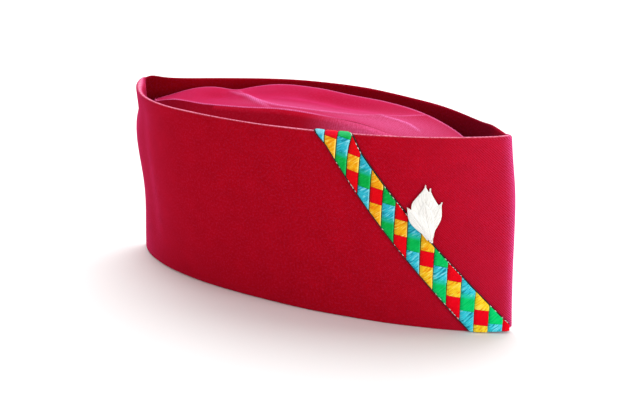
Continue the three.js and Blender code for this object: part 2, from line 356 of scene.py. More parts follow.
def makeTwill(name, look):  # look has the piece's own colours, ribbing and nap
    ribLook, fibreLook = twillLook["ribs"], twillLook["fibre"]
    mottleLook, tuftLook = twillLook["mottle"], twillLook["tuft"]
    ribbing = look["ribbing"]
    material, tree, shader = newMaterial(name)
    cloth = mapped(tree, uvNode(tree), Scale=(1000, 1000, 1000))  # millimetres
    turned = mapped(tree, cloth, Rotation=(0, 0, math.radians(ribLook["turn"])))
    ribs = addNode(tree, "ShaderNodeTexWave",
                   {0: turned, "Scale": math.tau / 20 / ribLook["pitch"], "Distortion": ribLook["wander"],
                    "Detail": 2.0, "Detail Scale": 1.4}, wave_type="BANDS", bands_direction="X").outputs[1]
    fibre = noiseNode(tree, cloth, *fibreLook["noise"])
    mottle = noiseNode(tree, cloth, *mottleLook["noise"])
    tuft = noiseNode(tree, cloth, *tuftLook["noise"])

    def rampShare(value, part):
        return mathNode(tree, "MULTIPLY", rampNode(tree, value, *part["ramp"]), part["share"])

    evened = ribLook["share"] / 2 * (1 - ribbing)
    share = mathNode(tree, "MULTIPLY_ADD", ribs, ribLook["share"] * ribbing, evened)
    share = mathNode(tree, "ADD", share, rampShare(fibre, fibreLook))
    share = mathNode(tree, "ADD", share, rampShare(mottle, mottleLook))
    color = mixColor(tree, share, look["deep"], look["bright"])
    # painted shade on the band's inside
    color = mixColor(tree, shareNode(tree, "insideShade"), color, darker(look["deep"], twillLook["inside"]))
    # painted sheen: where a piece is marked for it, the colour goes to a pinker, paler tint, broken up by the
    # ribs and fibres; the tufts are the cloth's own pale specks
    fibrePile = mathNode(tree, "MULTIPLY", fibre, fibreLook["paintedSheen"])
    pile = mathNode(tree, "MULTIPLY_ADD", tuft, tuftLook["paintedSheen"], fibrePile)
    pile = mathNode(tree, "MULTIPLY", pile, 1 - ribLook["paintedSheen"] * ribbing)
    pile = mathNode(tree, "MULTIPLY_ADD", ribs, ribLook["paintedSheen"] * ribbing, pile)
    paintedSheen = mathNode(tree, "MULTIPLY", shareNode(tree, "paintedSheen"), rampNode(tree, pile, *twillLook["paintedSheenRamp"]))
    paintedSheen = mathNode(tree, "MAXIMUM", paintedSheen, rampShare(tuft, tuftLook))
    color = mixColor(tree, paintedSheen, color, look["paintedSheenTint"])
    glintSpots = rampNode(tree, tuft, *twillLook["rimGlintRamp"])  # pale specks of the painted highlight on the rim's fold
    rimGlint = mathNode(tree, "MULTIPLY", shareNode(tree, "rimGlint"), glintSpots)
    color = mixColor(tree, rimGlint, color, twillLook["rimGlintTint"])
    tree.links.new(color, shader.inputs["Base Color"])
    fibreHeight = mathNode(tree, "MULTIPLY", fibre, fibreLook["height"])
    height = mathNode(tree, "MULTIPLY_ADD", ribs, ribLook["height"] * ribbing, fibreHeight)
    bumpShader(tree, shader, height, twillLook["bump"], twillLook["bumpDepth"])
    setSockets(shader, {"Roughness": 0.95, "Specular IOR Level": 0.0, "Sheen Weight": look["nap"],
                        "Sheen Roughness": look["napSpread"], "Sheen Tint": look["napTint"]})
    return material


# Band: the doubled cuff, one skin up the outside, over the rim and down inside to the hem
bandLook = {
    "around": 420, "wallRows": 62, "foldRows": 14, "insideRows": 40, "hemRows": 6, "undersideRows": 3,
    "swell": 0.00030, "swellSize": 0.030, "frontFold": 0.010, "frontSmooth": 16,
    "backFolds": [  # soft upright folds near the back end
        {"around": -153, "depth": 0.0006, "spread": 6},
        {"around": -141, "depth": -0.0007, "spread": 5},
    ],
    "backFoldStart": (0.002, 0.030), "backFoldStop": 0.012,
    # painted highlight on the near rim's fold: pale specks just over the fold's start, and a pink line along
    # the fold's top
    "rimGlint": {"from": 0.0015, "width": 0.0005, "share": 0.95, "near": (-0.02, 0.06)},
    "rimHighlight": {"width": 0.0005, "share": 0.80, "near": (-0.05, 0.15)}, "paintedSheenTint": (0.86, 0.11, 0.40, 1),
    "sheenPatches": [  # painted sheen towards the front fold and the back end
        {"around": 0, "share": 0.74, "spread": 7},
        {"around": -4, "share": 0.09, "spread": 36},
        {"around": -160, "share": 0.12, "spread": 20},
        {"around": -168, "share": 0.12, "spread": 6},
    ],
    "inside": {  # painted shade inside the band: how dark, least along the middle and by the front fold
        "far": (-0.35, 0.1), "down": 0.003, "least": 0.36, "front": (0.2, 0.8),
        "tip": 0.85, "tipDegrees": (32, 20), "backEnd": {"around": 172, "spread": 16},
    },
    "deep": (0.248, 0.0008, 0.0032, 1), "bright": (0.460, 0.0022, 0.0112, 1), "ribbing": 1.0,
    "napTint": (1.0, 0.08, 0.32, 1), "nap": 0.60, "napSpread": 0.32,
}


def outwards(turn):  # level direction away from the cap's wall
    outline = bandOutline(capForm["height"] / 2)
    here = np.stack(outlinePoint(outline, capForm["quarters"], turn, 0), -1)
    ahead = np.stack(outlinePoint(outline, capForm["quarters"], turn + 1e-4, 0), -1)
    step = ahead - here
    step /= np.linalg.norm(step, axis=1)[:, None]
    return np.stack([step[:, 1], -step[:, 0], np.zeros(len(step))], -1)


def markBand(band, turn, run):  # where the painted sheen, the painted highlight on the rim's fold and the painted shade inside the band lie
    look = bandLook
    near = -np.sin(turn)
    rimHighlight, rimGlint, inside = look["rimHighlight"], look["rimGlint"], look["inside"]
    # painted highlight: a pink line along the top of the near rim's fold
    paintedSheen = rimHighlight["share"] * softStep(near, *rimHighlight["near"])
    paintedSheen = paintedSheen * hill((run - (foldStart + foldEnd) / 2) / rimHighlight["width"])
    for patch in look["sheenPatches"]:
        paintedSheen = paintedSheen + patch["share"] * hill(spreadsFrom(patch, turn)) * (run < foldEnd)
    markShare(band, "paintedSheen", np.minimum(paintedSheen, 1))
    # painted highlight: pale specks just over the start of the rim's fold
    glintSpots = hill((run - foldStart - rimGlint["from"]) / rimGlint["width"])
    markShare(band, "rimGlint", rimGlint["share"] * glintSpots * softStep(near, *rimGlint["near"]))
    # painted shade inside the band, lighter by the front corner
    insideFrom = mix(foldEnd, foldStart, softStep(-near, *inside["far"]))
    insideShadeShare = mix(inside["least"], 1, softStep(np.cos(turn), *inside["front"]))
    insideShadeShare = np.maximum(insideShadeShare, hill(spreadsFrom(inside["backEnd"], turn)))
    insideShadeShare = insideShadeShare * (1 - inside["tip"] * softStep(np.abs(np.degrees(turn)), *inside["tipDegrees"]))
    markShare(band, "insideShade", insideShadeShare * softStep(run, insideFrom, insideFrom + inside["down"]))


def makeBand():
    look = bandLook
    stretches = [  # one closed profile: hem round, wall, fold, inside, underside
        (hemTurnEnd, capForm["hemRound"], look["hemRows"]),
        (capForm["hemRound"], foldStart, look["wallRows"]),
        (foldStart, foldEnd, look["foldRows"]),
        (foldEnd, foldEnd + foldStart, look["insideRows"]),
    ]
    runs = np.concatenate([np.linspace(low, high, rows + 1)[:-1] for low, high, rows in stretches]
                          + [[foldEnd + foldStart]])
    underside = np.linspace(0, 1, look["undersideRows"] + 1)[1:]
    band = addGrid("band", look["around"], len(runs) + len(underside) - 1)
    across, up = gridShares(band)
    row = np.rint(up * (len(runs) + len(underside) - 1)).astype(int)
    turn = mix(-math.pi, math.pi, across)
    run = runs[np.minimum(row, len(runs) - 1)]
    hemEdge = bandPoint(turn, hemTurnEnd, 0.0)
    underShare = np.concatenate([[0], underside])[np.maximum(0, row - len(runs) + 1)][:, None]
    points = mix(bandPoint(turn, run, 0.0), hemEdge, underShare)
    folded = sum(fold["depth"] * hill(spreadsFrom(fold, turn)) for fold in look["backFolds"])
    folded = folded * softStep(run, *look["backFoldStart"])
    folded = folded * (1 - softStep(run, foldStart - look["backFoldStop"], foldStart))
    placeVertices(band, points + outwards(turn) * folded[:, None])
    layCloth(band, -aroundAt(turn), run + underShare[:, 0] * capForm["cloth"])
    markBand(band, turn, run)
    weldClosed(band)
    plain = vertexPlaces(band)
    points = roughen(plain, vertexNormals(band), look["swell"], look["swellSize"])
    points[:, 2] = np.maximum(points[:, 2], 0)
    placeVertices(band, points)
    tip = capForm["hem"]["midX"] + capForm["hem"]["length"] / 2
    nearTip = [vertex.index for vertex in band.data.vertices if vertex.co.x > tip - look["frontFold"]]
    fold = band.vertex_groups.new(name="frontFold")
    fold.add(nearTip, 1.0, "REPLACE")
    applyModifier(band, "SMOOTH", factor=0.5, iterations=look["frontSmooth"], vertex_group="frontFold")
    band.data.materials.append(makeTwill("crimsonTwill", look))
    finishPiece(band, ["band"])
    return plain, vertexPlaces(band) - plain


plainSkin, skinMoves = makeBand()
skinTree = kdtree.KDTree(len(plainSkin))
for index, place in enumerate(plainSkin):
    skinTree.insert(place, index)
skinTree.balance()
print("band sewn")


def settle(points):  # what is laid on the band moves as its four nearest corners did when it was sewn
    settled = np.array(points, float)
    for index, point in enumerate(points):
        found = skinTree.find_n(point, 4)
        weights = np.array([1 / (distance ** 2 + 1e-8) for _, _, distance in found])
        settled[index] += weights @ skinMoves[[spot for _, spot, _ in found]] / weights.sum()
    return settled


# Crown: the side wall inside the band and the creased boat-shaped top panel
crownLook = {
    "cloth": 0.0015, "topCloth": 0.0012, "gap": 0.0006, "around": 300, "sideRows": 40,
    "long": 300, "across": 84, "edgeRows": 9,
    "seam": {"length": 0.225, "width": 0.066, "midX": -0.0112, "midY": 0.0065},
    "quarters": {
        "nearFront": {"full": 2.6, "close": 0.45},
        "nearBack": {"full": 2.2, "close": 0.50},
        "farFront": {"full": 3.2, "close": 0.75},
        "farBack": {"full": 1.7, "close": 1.05},
    },
    "skew": 0.35, "tipTurn": 0.05,
    "heights": {  # of the seam, in equal steps from the back tip to the front tip
        "near": [0.0960, 0.1032, 0.1053, 0.1076, 0.1102, 0.1102, 0.1082, 0.1020, 0.1000],
        "far": [0.0960, 0.1041, 0.1052, 0.1088, 0.1092, 0.1078, 0.1072, 0.1052, 0.1005],
    },
    "farDip": {"at": 0.24, "depth": 0.0013, "spread": 0.04},
    "edgeRound": 0.0005, "edgeDrop": 0.0001, "reliefFade": 0.6,
    "bulge": {"near": 0.009, "nearFront": 0.0095, "front": (0.1, 0.6), "far": 0.001, "start": 0.55},
    "crease": {"sharp": 0.55, "soft": 0.45, "softBreadth": 3},
    "folds": [  # bowed creases; a lean over 1 moves the bow to the front, a fullness under 1 widens it
        {"from": (-0.074, 0.0260), "to": (0.0500, -0.0015), "bow": -0.0310, "lean": 1.12, "fullness": 0.8,
         "rise": 0.0020, "breadth": 0.0026},
        {"from": (0.0435, -0.0095), "to": (0.0650, 0.0350), "bow": 0.0015, "lean": 1.0, "fullness": 1.0,
         "rise": 0.0013, "breadth": 0.0052},
        {"from": (-0.078, 0.0230), "to": (-0.0060, -0.0258), "bow": -0.0030, "lean": 1.0, "fullness": 1.0,
         "rise": 0.0014, "breadth": 0.0024},
        {"from": (0.047, 0.0005), "to": (0.0780, -0.0020), "bow": 0.0045, "lean": 1.0, "fullness": 1.0,
         "rise": 0.0010, "breadth": 0.0022},
    ],
    "dishes": [
        {"at": (0.014, 0.018), "depth": 0.0030, "spread": (0.046, 0.013)},
        {"at": (-0.058, 0.004), "depth": 0.0010, "spread": (0.020, 0.010)},
    ],
    # painted highlight: pale lines along the creases and the seam's edges, and painted sheen patches, in the
    # tint given here
    "creaseHighlightWidth": 0.0013, "paintedSheen": 0.55, "paintedSheenTint": (0.95, 0.28, 0.66, 1),
    "seamHighlight": 0.60, "seamHighlightWidth": 0.0015, "seamHighlightFrom": (0.001, 0.010),
    "edgeFade": 0.85, "edgeFades": (0.022, 0.055),
    "sheenPatches": [
        {"at": (0.066, -0.004), "share": 0.68, "spread": (0.034, 0.028)},
        {"at": (0.000, -0.014), "share": 0.46, "spread": (0.048, 0.009)},
    ],
    "swell": 0.0004, "swellSize": 0.022,
    # deep and bright pinker and lighter than the band's: painted sheen of the light on the top
    "deep": (0.290, 0.0009, 0.0095, 1), "bright": (0.500, 0.0026, 0.0270, 1),
    "napTint": (1.0, 0.09, 0.38, 1), "nap": 0.52, "napSpread": 0.36, "ribbing": 0.35,
    "side": {  # what the side wall has of its own: lighter deep and bright, as painted light on a side that lies in shade, and a painted highlight on its upper front
        "headOut": 0.0003, "headDrop": 0.0003, "nap": 0.40, "ribbing": 0.25,
        "deep": (0.360, 0.0014, 0.0090, 1), "bright": (0.580, 0.0050, 0.0240, 1),
        "paintedSheenTint": (0.95, 0.17, 0.46, 1), "paintedSheen": 0.70, "sheenFrom": (0.012, 0.062), "sheenUp": (0.60, 1.00),
    },
}


def seamHeight(side, share):  # smooth curve through the side's equal steps
    rows = np.array(crownLook["heights"][side])
    spot = np.clip(share, 0, 1) * (len(rows) - 1)
    step = np.minimum(spot.astype(int), len(rows) - 2)
    padded = np.concatenate([[2 * rows[0] - rows[1]], rows, [2 * rows[-1] - rows[-2]]])
    a, b, c, d = (padded[step + i] for i in range(4))
    t = spot - step
    return (2 * b + (c - a) * t + (2 * a - 5 * b + 4 * c - d) * t ** 2 + (3 * b - a - 3 * c + d) * t ** 3) / 2


def seamPoint(turn, inset):
    seam = crownLook["seam"]
    x, y = outlinePoint(seam, crownLook["quarters"], turn, inset)
    share = (1 + np.cos(turn)) / 2
    dip = crownLook["farDip"]
    far = seamHeight("far", share) - dip["depth"] * hill((share - dip["at"]) / dip["spread"])
    height = mix(seamHeight("near", share), far, (1 + np.sin(turn)) / 2)
    return np.stack([x - crownLook["skew"] * (y - seam["midY"]), y, height], -1)


def panelRelief(x, y):  # height of the panel's creases and dishes, and the painted highlight at each place
    crease = crownLook["crease"]
    height = np.zeros_like(x)
    paintedSheen = np.zeros_like(x)

    def hillAt(spot):
        return hill((x - spot["at"][0]) / spot["spread"][0], (y - spot["at"][1]) / spot["spread"][1])

    for fold in crownLook["folds"]:
        (fromX, fromY), (toX, toY) = fold["from"], fold["to"]
        share = np.clip((x - fromX) / (toX - fromX), 0, 1)
        bowed = fold["bow"] * np.maximum(0, np.sin(math.pi * share ** fold["lean"])) ** fold["fullness"]
        away = y - mix(fromY, toY, share) - bowed
        fade = np.sqrt(np.maximum(0, np.sin(math.pi * share)))
        breadths = away / fold["breadth"]
        ridge = crease["sharp"] * hill(breadths) + crease["soft"] * hill(breadths / crease["softBreadth"])
        height += fold["rise"] * fade * ridge
        # painted highlight along each crease
        paintedSheen += fade * hill(away / crownLook["creaseHighlightWidth"])
    for dish in crownLook["dishes"]:
        height -= dish["depth"] * hillAt(dish)
    # painted sheen patches
    for patch in crownLook["sheenPatches"]:
        paintedSheen += patch["share"] * hillAt(patch)
    return height, paintedSheen


def makeCrownSide():
    look = crownLook
    sideLook, bulge, rows = look["side"], look["bulge"], look["sideRows"]
    side = addGrid("crown_side", look["around"], 2 * rows + 2)
    across, up = gridShares(side)
    turn = mix(-math.pi, math.pi, across)
    row = np.rint(up * (2 * rows + 2)).astype(int)  # up the outside, down the inside, and closed at the foot
    outer = row <= rows
    share = np.where(outer, row, np.maximum(2 * rows + 1 - row, 0)) / rows
    inset = np.where(outer | (row == 2 * rows + 2), 0.0, look["cloth"])
    footInset = capForm["cloth"] + look["gap"] + inset
    footX, footY = outlinePoint(capForm["hem"], capForm["quarters"], turn, footInset)
    foot = np.stack([footX, footY, np.zeros_like(footX)], -1)
    head = seamPoint(turn, inset - sideLook["headOut"])
    head[:, 2] -= sideLook["headDrop"]
    points = mix(foot, head, share[:, None])
    bulged = np.clip((share - bulge["start"]) / (1 - bulge["start"]), 0, 1)
    out = bulge["near"] + bulge["nearFront"] * softStep(np.cos(turn), *bulge["front"])
    out = np.where(np.sin(turn) < 0, out, bulge["far"])
    points[:, 1] += out * np.sin(turn) * np.sin(math.pi * bulged)
    placeVertices(side, points)
    layCloth(side, -aroundAt(turn), share * capForm["height"] * np.where(outer, 1, -1))
    # painted highlight on the side's upper front
    paintedSheen = softStep(points[:, 0], *sideLook["sheenFrom"]) * softStep(share, *sideLook["sheenUp"])
    markShare(side, "paintedSheen", sideLook["paintedSheen"] * paintedSheen)
    weldClosed(side)
    side.data.materials.append(makeTwill("crownSideTwill", {**look, **sideLook}))
    finishPiece(side, ["crown_side"])


def makeCrownTop():
    look = crownLook
    edge, edgeRound = look["edgeRows"], look["edgeRound"]
    rows = look["across"] + 2 * edge
    top = addGrid("crown_top", look["long"], rows)
    along, up = gridShares(top)
    turn = mix(math.pi - look["tipTurn"], look["tipTurn"], along)
    row = np.rint(up * rows).astype(int)
    share = np.clip((row - edge) / look["across"], 0, 1)
    near = seamPoint(-turn, edgeRound)
    far = seamPoint(turn, edgeRound)
    points = mix(near, far, share[:, None])
    relief, paintedSheen = panelRelief(points[:, 0], points[:, 1])
    points[:, 2] += relief * np.sin(math.pi * share) ** look["reliefFade"]
    edgeShare = np.maximum(edge - row, row - (rows - edge)).clip(0) / edge  # 0 on the panel, 1 at its edge
    length = edgeShare * (edgeRound * math.pi / 2 + look["edgeDrop"])
    angle = np.minimum(length / edgeRound, math.pi / 2)
    rim = seamPoint(np.where(share < 0.5, -turn, turn), edgeRound * (1 - np.sin(angle)))
    straight = np.maximum(0, length - edgeRound * math.pi / 2)
    rim[:, 2] -= edgeRound * (1 - np.cos(angle)) + straight
    points = np.where((edgeShare > 0)[:, None], rim, points)
    placeVertices(top, points)
    layCloth(top, points[:, 0], points[:, 1])
    panelWidth = np.linalg.norm(far - near, axis=1)
    fromEdge = np.minimum(share, 1 - share) * panelWidth
    # painted highlight along the seam's edges
    seamHighlight = look["seamHighlight"] * hill(fromEdge / look["seamHighlightWidth"])
    seamHighlight = seamHighlight * softStep(panelWidth, *look["seamHighlightFrom"])
    nearFront = (share < 0.5) * softStep(points[:, 0], *look["edgeFades"])  # the seam's painted highlight fades here
    seamHighlight = seamHighlight * (1 - look["edgeFade"] * nearFront)
    markShare(top, "paintedSheen", np.minimum(np.maximum(look["paintedSheen"] * paintedSheen, seamHighlight), 1))
    weld(top)
    points = roughen(vertexPlaces(top), vertexNormals(top), look["swell"], look["swellSize"])
    placeVertices(top, points)
    applyModifier(top, "SOLIDIFY", thickness=look["topCloth"], offset=-1.0)
    top.data.materials.append(makeTwill("crownTwill", look))
    finishPiece(top, ["crown_top"])


makeCrownSide()
makeCrownTop()
print("crown sewn")

# Braid: satin cells plaited on a dark tape, worked flat and then laid on the near wall; the near-black tape
# that shows past the cells is a painted shadow line along both edges
braidLook = {
    "hemWidth": 0.0202, "rimWidth": 0.0156, "foot": 0.0127, "lean": 0.948, "straighten": 2.01,
    "rimFlare": {"share": 0.22, "front": (0.093, 0.105), "back": (0.104, 0.112)},
    # rimFlat: the braid pressed on the rim's fold; pale, paleFrom and paleWidth place a painted highlight
    # just over the fold
    "rimFlat": {"share": 0.45, "spread": 0.0040, "pale": 0.75, "paleFrom": 0.001, "paleWidth": 0.0011},
    "runs": (-0.012, 0.140), "runSteps": 1521, "overRim": 0.008, "frontEnd": 0.0030, "clear": 0.0003,
    # the tape is near black: its rim past the cells paints the shadow line along the braid's edges
    "tape": {"rows": 300, "columns": 12, "steps": 4000, "least": 0.0002, "lift": 0.0003, "cloth": 0.0005,
             "weave": 2600.0, "deep": (0.006, 0.002, 0.003, 1), "bright": (0.030, 0.006, 0.008, 1)},
    "cellLift": 0.0007, "cellRise": 0.0009, "cellCloth": 0.0003, "sharpAngle": 75,
    "columns": 17, "headColumn": 2, "columnHead": 0.1307, "pitch": 0.0102, "pitchGrowth": 0.000026,
    "slantAtHem": 0.88, "slantGrowth": 2.5, "rowSlant": 1.1, "rowAbove": 0.0030, "rowBelow": 0.0101,
    # selvedge: how far the cells stop short of the tape's edge, so that the dark tape shows as a painted
    # shadow line
    "columnGap": 0.00022, "rowGap": 0.00008, "selvedge": 0.0006, "blendWidth": 0.0024,
    "cellRows": 60, "cellColumns": 12, "cellSteps": 12000, "cellLeast": 0.00002, "cellShortest": 20,
    "pillow": 0.0016, "pillowFrom": 0.000154, "sidePillow": 0.00096, "rowPillow": 0.0007, "rowDip": 0.72,
    "threadPitch": 0.0008, "threadRise": 0.00007, "paleFrom": 0.0005, "paleWidth": 0.0004,
    "hemLight": (0.090, 0.005),  # where along the braid the painted light on the satin starts, and where it is full, towards the hem
    "satins": {  # in the order that they take along the braid
        # each satin's colour towards the hem is painted light; dark and light are the colours of its painted
        # shade and painted glint streaks
        "blueSatin": {"color": (0.022, 0.405, 0.520, 1), "hemLitColor": (0.030, 0.560, 0.670, 1),
                      "dark": (0.006, 0.170, 0.260, 1), "light": (0.280, 0.700, 0.800, 1),
                      "streak": 0.95, "pale": 0.75, "blend": "greenSatin"},
        "yellowSatin": {"color": (0.750, 0.350, 0.006, 1), "hemLitColor": (0.840, 0.620, 0.020, 1),
                        "dark": (0.700, 0.170, 0.002, 1), "light": (0.930, 0.670, 0.140, 1),
                        "streak": 0.90, "pale": 0.90},
        "greenSatin": {"color": (0.000, 0.345, 0.047, 1), "hemLitColor": (0.000, 0.580, 0.140, 1),
                       "dark": (0.000, 0.200, 0.035, 1), "light": (0.050, 0.580, 0.200, 1),
                       "streak": 0.30, "pale": 0.40, "blend": "blueSatin"},
        "redSatin": {"color": (0.640, 0.000, 0.004, 1), "hemLitColor": (0.740, 0.000, 0.009, 1),
                     "dark": (0.560, 0.000, 0.004, 1), "light": (0.840, 0.010, 0.040, 1),
                     "streak": 0.20, "pale": 0.05},
    },
}
braidRuns = np.linspace(*braidLook["runs"], braidLook["runSteps"])
braidArounds = braidLook["foot"] + (braidLook["lean"] - braidLook["straighten"] * braidRuns) * braidRuns
braidLengths = np.concatenate([[0], np.cumsum(np.hypot(np.diff(braidArounds), np.diff(braidRuns)))])
braidLengths -= np.interp(0, braidRuns, braidLengths)
hemReach = capForm["hemRound"] + braidLook["cellLift"] + braidLook["cellRise"]
braidLow = capForm["hemRound"] * (1 - math.asin((capForm["hemRound"] - braidLook["clear"]) / hemReach))
braidHigh = foldEnd + braidLook["overRim"]


def braidRun(along):
    return np.interp(along, braidLengths, braidRuns)


def braidAround(along):
    return np.interp(along, braidLengths, braidArounds)


def tiltAt(run):
    return np.arctan(braidLook["lean"] - 2 * braidLook["straighten"] * run)


def halfAt(run):
    return mix(braidLook["hemWidth"], braidLook["rimWidth"], run / capForm["height"]) / 2


def braidHalf(along):
    return halfAt(braidRun(along))


def wallSpot(along, across):  # around and run of a spot of the flat braid, which spreads at the rim
    run, flare = braidRun(along), braidLook["rimFlare"]
    tilt = tiltAt(run)
    spread = np.where(across < 0, softStep(run, *flare["front"]), softStep(run, *flare["back"]))
    across = across * (1 + flare["share"] * spread)
    return braidAround(along) + across * np.cos(tilt), run - across * np.sin(tilt)


def braidToWall(along, across, proud):  # from the flat braid to the band, pressed flat at the rim
    around, run = wallSpot(along, across)
    flat = braidLook["rimFlat"]
    pressed = flat["share"] * hill((run - (foldStart + foldEnd) / 2) / flat["spread"])
    return settle(bandPoint(turnAt(around), run, proud * (1 - pressed)))


def acrossLimits(along, inset):  # the braid's two sides, cut at the hem, the front fold and inside the rim
    half = braidHalf(along) - inset
    run = braidRun(along)
    tilt = tiltAt(run)
    front = (braidLook["frontEnd"] + inset - braidAround(along)) / np.cos(tilt)
    low = np.maximum(np.maximum(-half, front), (run - braidHigh) / np.sin(tilt))
    return low, np.minimum(half, (run - braidLow) / np.sin(tilt))


def stretchWithin(reach, steps, least):  # places along the braid where a reach is wider than least
    spots = np.linspace(braidLengths[0], braidLengths[-1], steps)
    low, high = reach(spots)
    return spots[high - low > least]


# darkStreak and lightStreak ramp the painted shade and painted glint streaks along the strands
satinLook = {"strands": (1300, 150, 1), "darkStreak": (0.48, 0.38), "lightStreak": (0.54, 0.68),
             "threads": (4200, 300, 1), "bump": 0.35, "bumpDepth": 0.00012}


def makeSatin(name, satin):
    look = satinLook
    _, tree, shader = newMaterial(name)
    uv = uvNode(tree)
    streak = noiseNode(tree, mapped(tree, uv, Scale=look["strands"]), 1.0, 3.0, 0.6)
    thread = noiseNode(tree, mapped(tree, uv, Scale=look["threads"]), 1.0, 2.0)
    # painted shade and painted glints: darker and lighter streaks along the strands
    darkShare = mathNode(tree, "MULTIPLY", rampNode(tree, streak, *look["darkStreak"]), satin["streak"])
    lightShare = mathNode(tree, "MULTIPLY", rampNode(tree, streak, *look["lightStreak"]), satin["streak"])
    # painted light: the satin lighter towards the hem
    hemLitShare = shareNode(tree, "hemLitShare")
    shade = mixColor(tree, hemLitShare, satin["color"], satin["hemLitColor"])
    shade = mixColor(tree, darkShare, shade, satin["dark"])
    shade = mixColor(tree, lightShare, shade, satin["light"])
    if "blend" in satin:
        beside = braidLook["satins"][satin["blend"]]
        besideShade = mixColor(tree, hemLitShare, beside["color"], beside["hemLitColor"])
        shade = mixColor(tree, shareNode(tree, "blend"), shade, besideShade)
    # paler along each cell's lower edge, and the painted highlight over the rim's fold
    shade = mixColor(tree, shareNode(tree, "paleEdge"), shade, satin["light"])
    tree.links.new(shade, shader.inputs["Base Color"])
    bumpShader(tree, shader, thread, look["bump"], look["bumpDepth"])
    setSockets(shader, {"Roughness": 0.45, "Specular IOR Level": 0.04})


def makeTapeCloth():
    look = braidLook["tape"]
    material, tree, shader = newMaterial("braidTape")
    weave = noiseNode(tree, uvNode(tree), look["weave"], 2.0)
    color = mixColor(tree, weave, look["deep"], look["bright"])
    tree.links.new(color, shader.inputs["Base Color"])
    setSockets(shader, {"Roughness": 0.9})
    return material


def makeTape():
    look = braidLook["tape"]
    tape = addGrid("braid_tape", look["columns"], look["rows"])
    share, up = gridShares(tape)
    spots = stretchWithin(lambda along: acrossLimits(along, 0), look["steps"], look["least"])
    along = mix(spots[0], spots[-1], up)
    low, high = acrossLimits(along, 0)
    across = mix(high, low, share)
    placeVertices(tape, braidToWall(along, across, look["lift"] + look["cloth"]))
    layCloth(tape, along, across)
    weld(tape)
    applyModifier(tape, "SOLIDIFY", thickness=look["cloth"], offset=-1.0)
    tape.data.materials.append(makeTapeCloth())
    finishPiece(tape)


def roundOff(distance, width):  # quarter-round edge: 0 at the edge, 1 from width inwards
    return np.sqrt(1 - (1 - np.clip(distance / width, 0, 1)) ** 2)


def columnEdge(column):  # where a column of cells starts on the braid's centre line, and how it slants
    steps = column - braidLook["headColumn"]
    along = braidLook["columnHead"] - braidLook["pitch"] * steps - braidLook["pitchGrowth"] * steps ** 2
    return along, braidLook["slantAtHem"] + braidLook["slantGrowth"] * along


def satinOf(column, part):  # the cells at the two selvedges are alike, and the middle one is two colours on
    names = list(braidLook["satins"])
    return names[(column + (2 if part == 0 else 0)) % len(names)]


def makeCell(column, part):  # one satin cell: part 0 is the middle, 1 the front selvedge, -1 the back one
    look = braidLook
    upper, upperSlant = columnEdge(column)
    lower, lowerSlant = columnEdge(column + 1)
    rowHigh = upper + look["rowAbove"]
    rowLow = upper - look["rowBelow"]
    rowTop = {0: rowHigh, -1: rowLow}.get(part)
    rowFoot = {0: rowLow, 1: rowHigh}.get(part)
    blueAt = {"blueSatin": rowHigh}.get(satinOf(column, 1), rowLow)  # blue runs into the green below it here
    softEdge = blueAt if "blueSatin" in (satinOf(column, 1), satinOf(column, 0)) else None
    limits = [(1, upperSlant, upper - look["columnGap"]), (-1, -lowerSlant, -lower - look["columnGap"])]
    if part <= 0:
        limits.append((1, -look["rowSlant"], rowTop - (0 if rowTop == softEdge else look["rowGap"])))
    if part >= 0:
        limits.append((-1, look["rowSlant"], -rowFoot - (0 if rowFoot == softEdge else look["rowGap"])))

    def reach(along):  # the cell's low and high across at each place along the braid
        low, high = acrossLimits(along, look["selvedge"])
        for alongPart, acrossPart, most in limits:
            edge = (most - alongPart * along) / acrossPart
            if acrossPart > 0:
                high = np.minimum(high, edge)
            else:
                low = np.maximum(low, edge)
        return low, high

    spots = stretchWithin(reach, look["cellSteps"], look["cellLeast"])
    if len(spots) < look["cellShortest"]:
        return None
    cell = addGrid("braidCell", look["cellColumns"], look["cellRows"])
    share, up = gridShares(cell)
    along = mix(spots[0], spots[-1], up)
    low, high = reach(along)
    across = mix(high, low, share)
    around, run = wallSpot(along, across)
    fromUpper = (upper - along - upperSlant * across) / math.hypot(1, upperSlant)
    fromLower = (along + lowerSlant * across - lower) / math.hypot(1, lowerSlant)
    rowSpot = along - look["rowSlant"] * across
    fromEdges = {edge: np.abs(rowSpot - edge) / math.hypot(1, look["rowSlant"])
                 for edge in (rowTop, rowFoot) if edge}
    fromSoft = fromEdges.pop(softEdge, np.ones_like(along))
    fromRow = np.min([np.ones_like(along), *fromEdges.values()], axis=0)
    fromSide = np.minimum(braidHalf(along) - np.abs(across), around - look["frontEnd"]) - look["selvedge"]
    pillow = roundOff(np.minimum(fromUpper, fromLower) - look["pillowFrom"], look["pillow"])
    pillow = pillow * roundOff(fromSide, look["sidePillow"])
    pillow = pillow * mix(look["rowDip"], 1.0, roundOff(fromRow, look["rowPillow"]))
    threads = np.abs(np.cos(math.pi * along / look["threadPitch"])) * look["threadRise"]
    placeVertices(cell, braidToWall(along, across, look["cellLift"] + (look["cellRise"] + threads) * pillow))
    layCloth(cell, along, across)
    name = satinOf(column, part)
    flat = look["rimFlat"]
    paleEdge = look["satins"][name]["pale"] * hill((fromLower - look["paleFrom"]) / look["paleWidth"])
    # painted highlight where the cells fold over the rim
    foldHighlight = flat["pale"] * hill((run - foldStart - flat["paleFrom"]) / flat["paleWidth"])
    markShare(cell, "paleEdge", np.maximum(paleEdge, foldHighlight))
    markShare(cell, "blend", 0.5 - 0.5 * softStep(fromSoft, 0, look["blendWidth"]))
    # painted light towards the hem
    markShare(cell, "hemLitShare", softStep(along, *look["hemLight"]))
    cell.data.materials.append(bpy.data.materials[name])
    return cell


